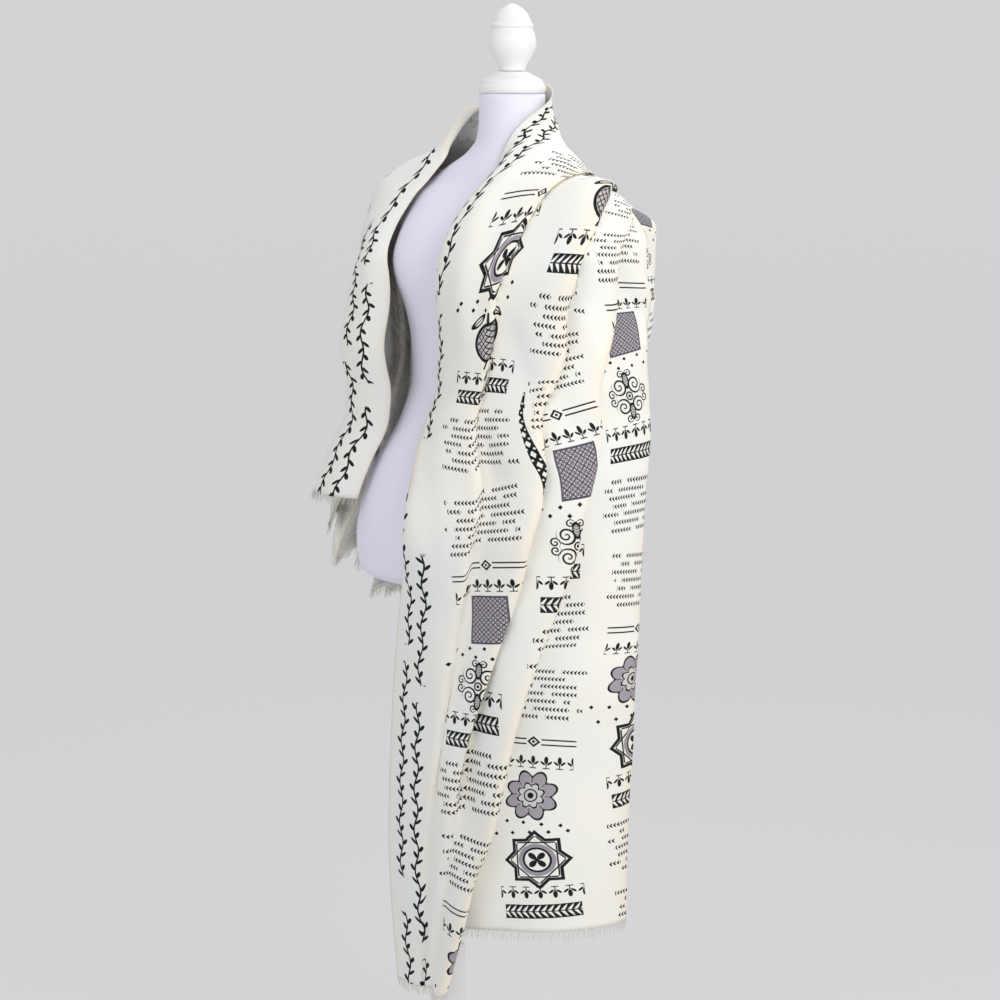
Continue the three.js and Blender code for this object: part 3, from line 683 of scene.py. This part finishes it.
# ---------------------------------------- shader arithmetic
class Field:
    """A number that varies over a surface: an output socket with ordinary arithmetic."""

    def __init__(self, tree, socket):
        self.tree = tree
        self.socket = socket

    def math(self, operation, *operands, clamp=False):
        node = self.tree.nodes.new("ShaderNodeMath")
        node.operation = operation
        node.use_clamp = clamp
        for slot, operand in zip(node.inputs, operands):
            if isinstance(operand, Field):
                self.tree.links.new(operand.socket, slot)
            else:
                slot.default_value = operand
        return Field(self.tree, node.outputs[0])

    def __add__(self, other):
        return self.math("ADD", self, other)

    __radd__ = __add__

    def __sub__(self, other):
        return self.math("SUBTRACT", self, other)

    def __rsub__(self, other):
        return self.math("SUBTRACT", other, self)

    def __mul__(self, other):
        return self.math("MULTIPLY", self, other)

    __rmul__ = __mul__

    def __truediv__(self, other):
        return self.math("DIVIDE", self, other)

    def __abs__(self):
        return self.math("ABSOLUTE", self)

    def sine(self):
        return self.math("SINE", self)

    def square(self):
        return self.math("MULTIPLY", self, self)

    def root(self):
        return self.math("SQRT", self)

    def floor(self):
        return self.math("FLOOR", self)

    def least(self, other):
        return self.math("MINIMUM", self, other)

    def most(self, other):
        return self.math("MAXIMUM", self, other)

    def cycle(self, period):
        """Distance from the middle of the repeat that this value falls in."""
        return self.math("WRAP", self, period / 2, -period / 2)

    def repeat(self, period):
        """Number of the repeat that this value falls in."""
        return (self / period + 0.5).floor()

    def remainder(self, divisor):
        return self.math("FLOORED_MODULO", self, divisor)

    def within(self, limit, soft=0.45):
        """1 where the value is below the limit and 0 above it, with a soft edge."""
        if isinstance(limit, Field):
            return self.math("MULTIPLY_ADD", limit - self, 1 / soft, 0.5, clamp=True)
        return self.math("MULTIPLY_ADD", self, -1 / soft, limit / soft + 0.5, clamp=True)

    def near(self, place, half, soft=0.45):
        """1 within half of the place."""
        return abs(self - place).within(half, soft)

    def equals(self, value):
        return self.math("COMPARE", self, value, 0.25)


def length_of(x, y):
    return (x.square() + y.square()).root()


def either(*masks):
    joined = masks[0]
    for mask in masks[1:]:
        joined = joined.most(mask)
    return joined


# ---------------------------------------- the printed design
# Generic ornament only, in mm on the cut: x across, y along. Each of the five motifs fills
# a field up to 80 mm wide, round x = y = 0, and returns (dark ink, plum ink).
PRINT_START = 96                # of the first column of cells, from the front edge
COLUMN_PITCH = 139
COLUMNS = 6
CELL_HEIGHT = 238
CELL_STAGGER = 89               # each column is shifted along from the one before
TILT_STEP = 0.035               # between the cells' small slants
MOTIF_DROP = 74                 # from a cell's middle down to its motif's
MOTIF_REACH = 50
BUDS_DROP = 27                  # and to its row of buds
GRAINS_RISE = 67                # from a cell's middle up to its rows of grains
GRAINS_HALF = 38.5
BAND_ASIDE = 65                 # of the upright band
BAND_HALF = 88
SPRINKLE_DROP = 113
SPRINKLE_PITCH = 23
SPRINKLE_HALF = 58
CHAIN_PITCH = 44
CHAIN_HALF = 19
VINE_SHIFT = 31                 # along the cloth, for each mm from the front edge
BORDER_LINES = (35, 67)         # the two vines
OUTER_BORDER = 960              # the chain along the outer edge


def rosette(x, y, r, angle):
    lobes = abs((angle * 4).sine())
    outline = (r - (25 + 10 * lobes)).near(0, 1.5)
    inner = (r - (13 + 5 * lobes)).near(0, 1.2)
    veins = (abs((angle * 4).sine()) * r).within(1.8) * r.near(22, 7)
    eye = either(r.within(4.2), r.near(8.4, 0.9))
    body = r.within(25 + 10 * lobes) * r.most(18).near(26, 8) * 0.75
    return either(outline, inner, veins, eye), body


def eight_point_star(x, y, r, angle):
    straight = abs(x).most(abs(y))
    turned = (abs(x) + abs(y)) * math.sqrt(0.5)
    outline = straight.least(turned).near(28, 2.1)
    strands = either(straight.near(24.5, 1.0), turned.near(24.5, 1.0)) * r.within(34)
    flower = (r - 12 * abs((angle * 2).sine())).within(1.4)
    ring = r.near(16.5, 1.5)
    return either(outline, strands, flower, ring), r.near(20.5, 2.4) * 0.8


def spiral(x, y, pitch, reach):
    """A line that winds out from the middle, its turns a pitch apart."""
    distance = length_of(x, y)
    turn = y.math("ARCTAN2", y, x) * (pitch / (2 * math.pi))
    line = abs((distance - turn).cycle(pitch)).within(0.8 + distance * 0.06)
    return line * distance.within(reach)


def four_scrolls(x, y, r, angle):
    ax, ay = abs(x), abs(y)
    scrolls = either(spiral(ax - 13, ay - 14, 6.4, 12), spiral(ax - 27, ay - 5, 4.6, 6.5),
                     spiral(ax - 6, ay - 30, 4.2, 5.5))
    tall = (ax / 4.4).square() + ((ay - 21) / 10).square()
    leaf_edge = tall.near(1, 0.4, 0.1)
    ribs = abs((ay - ax * 0.8).cycle(3.6)).within(0.5) * tall.within(1, 0.1)
    ink = either(scrolls, leaf_edge, ribs, r.near(5, 1.1), r.within(2.2))
    return ink, tall.within(1, 0.1) * 0.5


def lattice(x, y, r, angle):
    panel = (abs(x) / 27).most(abs(y) / 33)
    up = abs((x + y).cycle(13))
    down = abs((x - y).cycle(13))
    lines = either(up.within(1.3), down.within(1.3), (up + down).near(8.6, 0.9))
    dots = ((6.5 - up).square() + (6.5 - down).square()).within(4, 1.5)
    frame_line = panel.near(0.95, 0.035, 0.02)
    ink = either(either(lines, dots) * panel.within(0.96, 0.02), frame_line)
    return ink * 0.6, panel.within(1.0, 0.02) * either(ink, 0.5 * panel.within(2, 1))


def pomegranate(x, y, r, angle):
    body = length_of(x, y * 0.92)
    net = either(abs((x + y).cycle(8)).within(1), abs((x - y).cycle(8)).within(1))
    crown = (abs(x).near((y - 21) * 0.45 + 2, 1.4)) * y.near(27, 6)
    stem = abs(x).within(1.2) * y.near(-29, 7)
    lean = (abs(x) - 17) * 0.8 + (y + 26) * 0.6
    side = (abs(x) - 17) * -0.6 + (y + 26) * 0.8
    leaf = (lean / 12).square() + (side / 3.8).square()
    ink = either(body.near(20.5, 2.0), net * body.within(18), crown, stem,
                 leaf.near(1, 0.5, 0.15), abs(side).within(0.7) * leaf.within(1, 0.1))
    return ink, body.within(20) * 0.5


def leaf_band(x, y):
    """A dark strip with pairs of pale leaves along a stem."""
    ay = abs(y)
    strip = (abs(x) / 46).most(ay / 10)
    leaf_x = (x - ay * 0.7).cycle(7.5)
    leaves = abs(leaf_x).within((1 - (ay / 9.2).square()) * 2.1, 0.6)
    return strip.within(1, 0.02) * (1 - leaves).most(ay.within(0.7))


def rule(x, y):
    """A tapering double rule with a diamond at its middle."""
    lines = (abs(y) - 3.4).near(0, 1.0) * abs(x).within(54, 3)
    diamond = (abs(x) + abs(y) * 1.2).near(7, 2)
    return either(lines * (1 - abs(x).within(10)), diamond, (abs(x) + abs(y)).within(2.4))


def buds(x, y):
    """A row of upright buds, each with two small leaves."""
    bx = abs(x.cycle(17))
    bud = ((bx / 2.7).square() + ((y - 3) / 5.2).square()).within(1, 0.3)
    stem = bx.within(0.7) * y.near(-4, 4.5)
    lean = (bx - 4.4) * 0.77 + (y + 1) * 0.64
    aside = (y + 1) * 0.77 - (bx - 4.4) * 0.64
    leaf = ((lean / 3.9).square() + (aside / 1.5).square()).within(1, 0.3)
    foot = bx.within(4.4) * y.near(-8.2, 0.7)
    return either(bud, stem, leaf, foot) * abs(x).within(51)


def grain_rows(x, y, seed):
    """Rows of small barley grains in pairs along fine stems, ragged at both ends."""
    row_y = y.cycle(11)
    index = y.repeat(11)
    ragged = 51 + 9 * (index * 2.4 + seed * 1.7).sine()
    grain_x = (x + index * 2.3 - abs(row_y) * 0.8).cycle(4.9)
    width = (1 - (row_y / 3.4).square()) * 1.55
    grains = abs(grain_x).within(width, 0.5)
    gap = (x * 0.11 + index * 1.9 + seed).sine().within(0.86, 0.05)
    return grains * gap * abs(x).within(ragged)


def star_band(x, y):
    """A dark upright band with a row of pale lozenges and dots."""
    by = y.cycle(13)
    lozenge = (abs(x) * 1.3 + abs(by)).within(4.4)
    dots = length_of(abs(x) - 4.2, abs(by) - 6.5).within(1.3)
    return abs(x).within(6.6) * (1 - either(lozenge, dots))


def vine(u, v, place, phase):
    """A running stem with a leaf on alternate sides, along the cloth's edge."""
    stem_u = place + 4 * ((v + phase) * (2 * math.pi / 58)).sine()
    off = u - stem_u
    step = 9.5
    side = 1 - 2 * (v + phase).repeat(step).remainder(2)
    out = off * side - 5
    along = (v + phase).cycle(step)
    long_axis = out * 0.75 + along * 0.66
    short_axis = out * 0.66 - along * 0.75
    leaf = ((long_axis / 6.2).square() + (short_axis / 2.6).square()).within(1, 0.3)
    pause = ((v + phase) * 0.021 + 1.3 * (v * 0.0137).sine()).sine().within(0.9, 0.03)
    return either(abs(off).within(1.5), leaf) * pause


def printed_ink(tree):
    """The whole design on the cut coordinates: fields of dark and plum ink."""
    cut = tree.nodes.new("ShaderNodeUVMap")
    cut.uv_map = "cut"
    parts = tree.nodes.new("ShaderNodeSeparateXYZ")
    tree.links.new(cut.outputs[0], parts.inputs[0])
    u = Field(tree, parts.outputs[0]) * MM_PER_METRE
    v = Field(tree, parts.outputs[1]) * MM_PER_METRE

    col = ((u - PRINT_START) / COLUMN_PITCH).floor()
    x = u - PRINT_START - (col + 0.5) * COLUMN_PITCH
    shifted = v + col * CELL_STAGGER
    row = (shifted / CELL_HEIGHT).floor()
    y_up = shifted - (row + 0.5) * CELL_HEIGHT
    odd = (row + col).remainder(2)
    tilt = ((row * 3 + col * 4).remainder(7) - 3) * TILT_STEP
    y = (y_up - x * tilt) * (1 - 2 * odd)
    x = x + y_up * tilt

    motif_y = y + MOTIF_DROP
    r = length_of(x, motif_y)
    angle = motif_y.math("ARCTAN2", motif_y, x)
    kind = (row * 3 + col * 2).remainder(5)
    dark = plum = 0
    for k, motif in enumerate((rosette, lattice, eight_point_star, four_scrolls, pomegranate)):
        ink, tint = motif(x, motif_y, r, angle)
        chosen = kind.equals(k) * r.within(MOTIF_REACH)
        dark = ink * chosen + dark
        plum = tint * chosen + plum
    heading = buds(x, y + BUDS_DROP)
    strip = leaf_band(x, y) * odd + rule(x, y) * (1 - odd)
    rows_here = (y - GRAINS_RISE).near(0, GRAINS_HALF)
    grains = grain_rows(x, y - GRAINS_RISE, kind) * rows_here
    every_fourth = col.remainder(2) * row.remainder(2)
    upright = star_band(x + BAND_ASIDE, y) * every_fourth * abs(y).within(BAND_HALF)
    diamonds = abs((x + 6).cycle(SPRINKLE_PITCH)) + abs(y + SPRINKLE_DROP)
    sprinkle = diamonds.within(3) * abs(x).within(SPRINKLE_HALF)

    half_way = COLUMNS / 2 * COLUMN_PITCH
    inside = u.near(PRINT_START + half_way, half_way, 1)
    dark = either(dark, heading, strip, grains, upright, sprinkle) * inside
    borders = [vine(u, v, place, VINE_SHIFT * place) for place in BORDER_LINES]
    link = abs(v.cycle(CHAIN_PITCH)) + abs(u - OUTER_BORDER) * 1.1
    chain = abs(link - CHAIN_HALF).within(1.9)
    bead = length_of(v.cycle(CHAIN_PITCH), u - OUTER_BORDER).within(5)
    return either(dark, *borders, chain, bead), plum * inside


# ---------------------------------------- materials
CREAM = (0.82, 0.855, 0.845, 1)
CREAM_SHADE = (0.84, 0.83, 0.77, 1)
# The colour below is painted light: a warm glow and shade laid on the folds' edges, by how
# sharply the cloth bends there, for light passing between and through the layers.
FOLD_PAINTED_GLOW = (0.86, 0.74, 0.58, 1)
INK = (0.002, 0.006, 0.009, 1)
PLUM = (0.20, 0.16, 0.24, 1)
FOLD_PAINTED_GLOW_SHARE = 0.45          # on the sharpest folds
REVERSE_INK = 0.22              # share of the print's strength that shows on the back
CLOTH_ROUGHNESS = 0.86
CLOTH_SPECULAR = 0.04
WEAVE_DEPTH = 0.0004
WEAVE_STRENGTH = 0.5
GRAIN_STRENGTH = 0.6
# Plain finishes: colour, roughness, scale and depth of the grain, and the darker patches'
# share of the colour.
YARN = ((0.82, 0.78, 0.68, 1), 0.9, 300, 0.0004, 0.85)
JERSEY = ((0.82, 0.81, 0.92, 1), 0.8, 900, 0.0003, 0.97)
WHITE_PAINT = ((0.86, 0.855, 0.87, 1), 0.38, 60, 0.0003, 0.97)


def new_material(name):
    material = bpy.data.materials.new(name)
    material.use_nodes = True
    tree = material.node_tree
    return material, tree, tree.nodes["Principled BSDF"]


def mix_colors(tree, factor, a, b):
    node = tree.nodes.new("ShaderNodeMix")
    node.data_type = "RGBA"
    for socket, value in ((node.inputs[0], factor), (node.inputs[6], a), (node.inputs[7], b)):
        if isinstance(value, Field):
            tree.links.new(value.socket, socket)
        elif isinstance(value, bpy.types.NodeSocket):
            tree.links.new(value, socket)
        else:
            socket.default_value = value
    return node.outputs[2]


def noise(tree, scale, detail, coordinates="Object", stretch=(1, 1, 1)):
    place = tree.nodes.new("ShaderNodeTexCoord")
    mapping = tree.nodes.new("ShaderNodeMapping")
    mapping.inputs["Scale"].default_value = stretch
    tree.links.new(place.outputs[coordinates], mapping.inputs["Vector"])
    texture = tree.nodes.new("ShaderNodeTexNoise")
    texture.inputs["Scale"].default_value = scale
    texture.inputs["Detail"].default_value = detail
    tree.links.new(mapping.outputs[0], texture.inputs["Vector"])
    return Field(tree, texture.outputs["Fac"])


def attribute(tree, name):
    node = tree.nodes.new("ShaderNodeAttribute")
    node.attribute_name = name
    return Field(tree, node.outputs["Fac"])


def bump(tree, shader, height, distance, strength):
    node = tree.nodes.new("ShaderNodeBump")
    node.inputs["Distance"].default_value = distance
    node.inputs["Strength"].default_value = strength
    tree.links.new(height.socket, node.inputs["Height"])
    tree.links.new(node.outputs[0], shader.inputs["Normal"])


def weave_height(tree):
    """Plain weave with slubs, on the cut coordinates."""
    warp = noise(tree, 1.0, 2, "UV", (900, 60, 1))
    weft = noise(tree, 1.0, 2, "UV", (60, 900, 1))
    return warp + weft


def cloth_material(name, ink_strength):
    material, tree, shader = new_material(name)
    dark, plum = printed_ink(tree)
    age = noise(tree, 9, 4)
    ground = mix_colors(tree, age.within(0.5, 0.5), CREAM, CREAM_SHADE)
    # Painted light: a warm glow and shade mixed in on the folds' edges.
    ground = mix_colors(tree, attribute(tree, "bend") * FOLD_PAINTED_GLOW_SHARE, ground, FOLD_PAINTED_GLOW)
    weave = weave_height(tree)
    fleck = 1 - 0.03 * (weave - 1).within(0.05, 0.4)
    tinted = mix_colors(tree, plum * ink_strength, ground, PLUM)
    printed = mix_colors(tree, dark * ink_strength * fleck, tinted, INK)
    tree.links.new(printed, shader.inputs["Base Color"])
    shader.inputs["Roughness"].default_value = CLOTH_ROUGHNESS
    shader.inputs["Specular IOR Level"].default_value = CLOTH_SPECULAR
    bump(tree, shader, weave, WEAVE_DEPTH, WEAVE_STRENGTH)
    return material


def plain_material(name, color, roughness, grain_scale, grain_depth, shade):
    material, tree, shader = new_material(name)
    patches = noise(tree, 6, 3)
    darker = tuple(c * shade for c in color[:3]) + (1,)
    tree.links.new(mix_colors(tree, patches, color, darker), shader.inputs["Base Color"])
    shader.inputs["Roughness"].default_value = roughness
    bump(tree, shader, noise(tree, grain_scale, 3), grain_depth, GRAIN_STRENGTH)
    return material


# ---------------------------------------- stage, light, camera
CAMERA_TURN = math.radians(45)
CAMERA_DISTANCE = 4.0
CAMERA_HEIGHT = 1.48
CAMERA_ASIDE = 0.0756
# The picture's width, and in the same measure the focal length and how far the horizon
# lies above the picture's middle.
PICTURE = 1000
FOCAL = 2857
HORIZON = 410
CAMERA_TILT = math.atan(HORIZON / FOCAL)
SENSOR = 36
BACKDROP = (0.651, 0.651, 0.665, 1)
AIR_STRENGTH = 1.0
FLOOR = (0.16, 0.16, 0.165, 1)
FLOOR_ROUGHNESS = 0.9
FLOOR_GLOW = 0.76
FLOOR_HALF = 40000              # mm
WHITE = (1, 1, 1)
# Each light: name, place, target, size, power and colour.
LIGHTS = [
    ("key", (1.9, -0.3, 2.3), (0.05, 0, 1.2), 1.2, 19.5, (1, 0.97, 0.92)),
    ("fill", (0.6, -3.0, 2.2), (0, 0, 1.2), 1.6, 13.5, WHITE),
    ("side", (2.6, 1.0, 0.8), (0.2, 0.1, 0.5), 1.4, 11.5, (1, 0.92, 0.80)),
    ("top", (-0.2, 1.1, 2.9), (0, 0.1, 1.4), 1.4, 12.5, WHITE),
]


def make_stage():
    bpy.context.scene.view_settings.view_transform = "Standard"
    material, _, shader = new_material("studio_floor")
    shader.inputs["Base Color"].default_value = FLOOR
    shader.inputs["Roughness"].default_value = FLOOR_ROUGHNESS
    shader.inputs["Emission Color"].default_value = BACKDROP
    shader.inputs["Emission Strength"].default_value = FLOOR_GLOW
    far = FLOOR_HALF
    corners = [[-far, -far, 0], [far, -far, 0], [far, far, 0], [-far, far, 0]]
    floor = new_object("studio_floor", corners, [[0, 1, 2, 3]], [material], None)
    world = bpy.data.worlds.new("studio_air")
    world.use_nodes = True
    world.node_tree.nodes["Background"].inputs[0].default_value = BACKDROP
    world.node_tree.nodes["Background"].inputs[1].default_value = AIR_STRENGTH
    bpy.context.scene.world = world


def area_light(name, place, target, size, power, color):
    light = bpy.data.lights.new(name, "AREA")
    light.shape = "DISK"
    light.size = size
    light.energy = power
    light.color = color
    obj = bpy.data.objects.new(name, light)
    obj.location = place
    direction = Vector(target) - Vector(place)
    obj.rotation_euler = direction.to_track_quat("-Z", "Y").to_euler()
    bpy.context.scene.collection.objects.link(obj)


def make_camera():
    camera = bpy.data.cameras.new("camera")
    camera.sensor_width = SENSOR
    camera.lens = SENSOR * FOCAL / PICTURE
    obj = bpy.data.objects.new("camera", camera)
    sine, cosine = math.sin(CAMERA_TURN), math.cos(CAMERA_TURN)
    obj.location = (CAMERA_DISTANCE * sine + CAMERA_ASIDE * cosine,
                    -CAMERA_DISTANCE * cosine + CAMERA_ASIDE * sine, CAMERA_HEIGHT)
    obj.rotation_euler = (math.pi / 2 - CAMERA_TILT, 0, CAMERA_TURN)
    bpy.context.scene.collection.objects.link(obj)
    bpy.context.scene.camera = obj


def main():
    cloth_face = cloth_material("printed_cloth", 1.0)
    cloth_back = cloth_material("cloth_reverse", REVERSE_INK)
    yarn = plain_material("frayed_yarn", *YARN)
    jersey = plain_material("form_jersey", *JERSEY)
    paint = plain_material("white_paint", *WHITE_PAINT)

    points, s, t = cloth_grid()
    shawl = make_shawl(points, s, t, cloth_face, cloth_back)
    long_seed, short_seed = FRINGE_SEEDS
    long_fringe = make_fringe("fringe_long", points[0], s[0], points[1], yarn, long_seed)
    short_fringe = make_fringe("fringe_short", points[-1], s[-1], points[-2], yarn,
                               short_seed)
    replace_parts(shawl, "shawl_long_drop", "shawl_neck_wrap", "shawl_short_drop")
    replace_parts(long_fringe, "fringe_long_end")
    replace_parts(short_fringe, "fringe_short_end")
    form = make_form(jersey)
    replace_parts(form, "torso")
    for name, node, y, profile in TURNED:
        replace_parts(make_turned(name, profile, y, paint, "stand_paint"), node)

    make_stage()
    for light in LIGHTS:
        area_light(*light)
    make_camera()


main()
